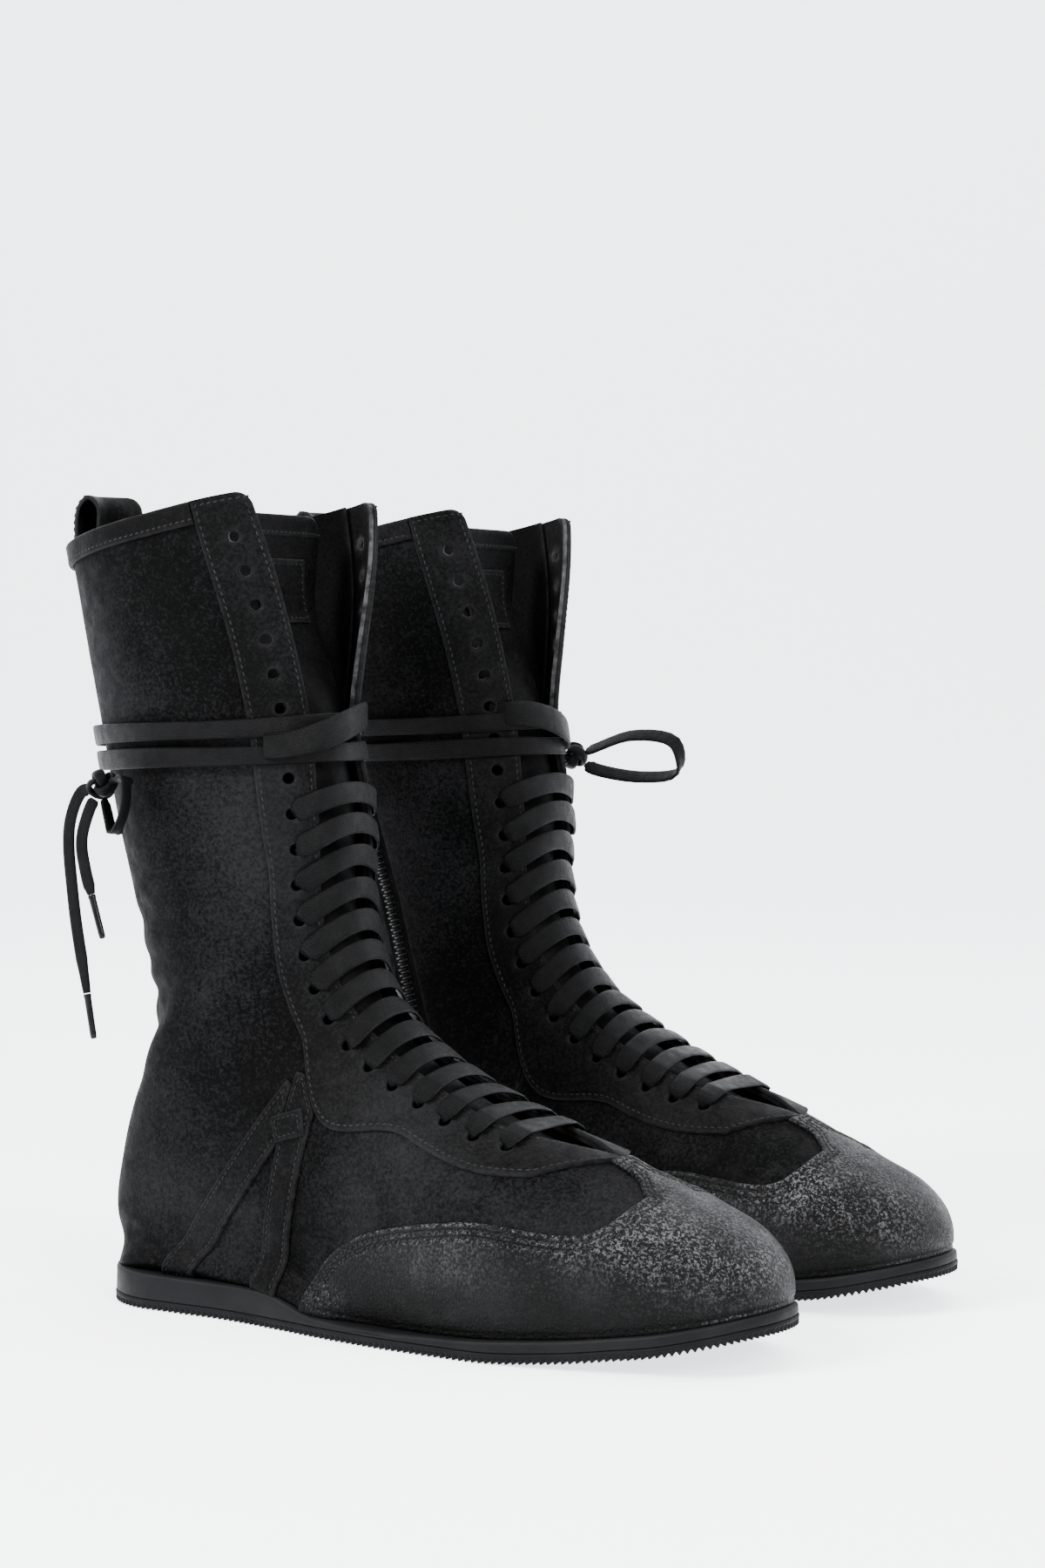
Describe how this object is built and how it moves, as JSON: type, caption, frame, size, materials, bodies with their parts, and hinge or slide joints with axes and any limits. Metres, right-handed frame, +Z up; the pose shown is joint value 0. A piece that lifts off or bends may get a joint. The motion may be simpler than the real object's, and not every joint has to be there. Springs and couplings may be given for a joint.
{
  "type": "pair of boxing boots",
  "caption": "High lace-up black leather boots with flat wrapped laces, side zips, T-shaped toe caps and thin wedge rubber soles, standing as a pair.",
  "frame": {"origin": "middle of the pair on the ground, without the free lace ends", "axes": "+X towards the toes, +Y towards the left boot, +Z up"},
  "size_m": [0.3266, 0.252, 0.3222],
  "materials": {
    "suede": "matt suede",
    "waxed": "waxed, cracked",
    "lining": "woven",
    "board": "fibreboard",
    "rubber": "matt",
    "lace": "waxed woven",
    "tip": "gloss",
    "tape": "woven with plastic coil",
    "metal": "black lacquer"
  },
  "bodies": {
    "right_boot": {"right_vamp": "suede", "right_quarter_outer": "suede", "right_quarter_inner": "suede", "right_lining": "lining", "right_toe_puff": "board", "right_heel_counter": "board", "right_toe_cap": "waxed", "right_eyelet_strip_outer": "suede", "right_eyelet_strip_inner": "suede", "right_collar_band": "suede", "right_ankle_strap_rear": "suede", "right_ankle_strap_front": "suede", "right_strap_tab": "suede", "right_outsole": "rubber", "right_midsole": "rubber", "right_insole_board": "board", "right_sockliner": "lining", "right_tongue": "waxed", "right_tongue_patch": "waxed", "right_pull_loop": "suede", "right_lace_rows": "lace", "right_lace_turn_lower": "lace", "right_lace_turn_upper": "lace", "right_zip_tape": "tape", "right_lace_knot": "lace", "right_lace_loop": "lace", "right_lace_tail_long": "lace", "right_lace_tail_short": "lace", "right_lace_tip_long": "tip", "right_lace_tip_short": "tip"},
    "right_zip_slider": {"right_zip_slider": "metal"},
    "right_zip_puller": {"right_zip_puller": "metal"},
    "left_boot": {"left_vamp": "suede", "left_quarter_outer": "suede", "left_quarter_inner": "suede", "left_lining": "lining", "left_toe_puff": "board", "left_heel_counter": "board", "left_toe_cap": "waxed", "left_eyelet_strip_outer": "suede", "left_eyelet_strip_inner": "suede", "left_collar_band": "suede", "left_ankle_strap_rear": "suede", "left_ankle_strap_front": "suede", "left_strap_tab": "suede", "left_outsole": "rubber", "left_midsole": "rubber", "left_insole_board": "board", "left_sockliner": "lining", "left_tongue": "waxed", "left_tongue_patch": "waxed", "left_pull_loop": "suede", "left_lace_rows": "lace", "left_lace_turn_lower": "lace", "left_lace_turn_upper": "lace", "left_zip_tape": "tape", "left_lace_knot": "lace", "left_lace_loop": "lace"},
    "left_zip_slider": {"left_zip_slider": "metal"},
    "left_zip_puller": {"left_zip_puller": "metal"}
  },
  "joints": [
    {"name": "left_boot_lift", "type": "slide", "parent": "right_boot", "child": "left_boot", "axis": [0, 0, 1], "range_m": [0, 0.36]},
    {"name": "right_zip_slide", "type": "slide", "parent": "right_boot", "child": "right_zip_slider", "axis": [0.2526, -0.0391, -0.9668], "range_m": [0, 0.022]},
    {"name": "right_zip_puller_swing", "type": "hinge", "parent": "right_zip_slider", "child": "right_zip_puller", "pos_m": [-0.11715, -0.02962, 0.27055], "axis": [0.9675, 0, 0.2528], "range_deg": [-3, 110]},
    {"name": "left_zip_slide", "type": "slide", "parent": "left_boot", "child": "left_zip_slider", "axis": [0.2526, 0.0391, -0.9668], "range_m": [0, 0.022]},
    {"name": "left_zip_puller_swing", "type": "hinge", "parent": "left_zip_slider", "child": "left_zip_puller", "pos_m": [-0.11715, 0.02962, 0.27055], "axis": [-0.9675, 0, -0.2528], "range_deg": [-3, 110]}
  ]
}
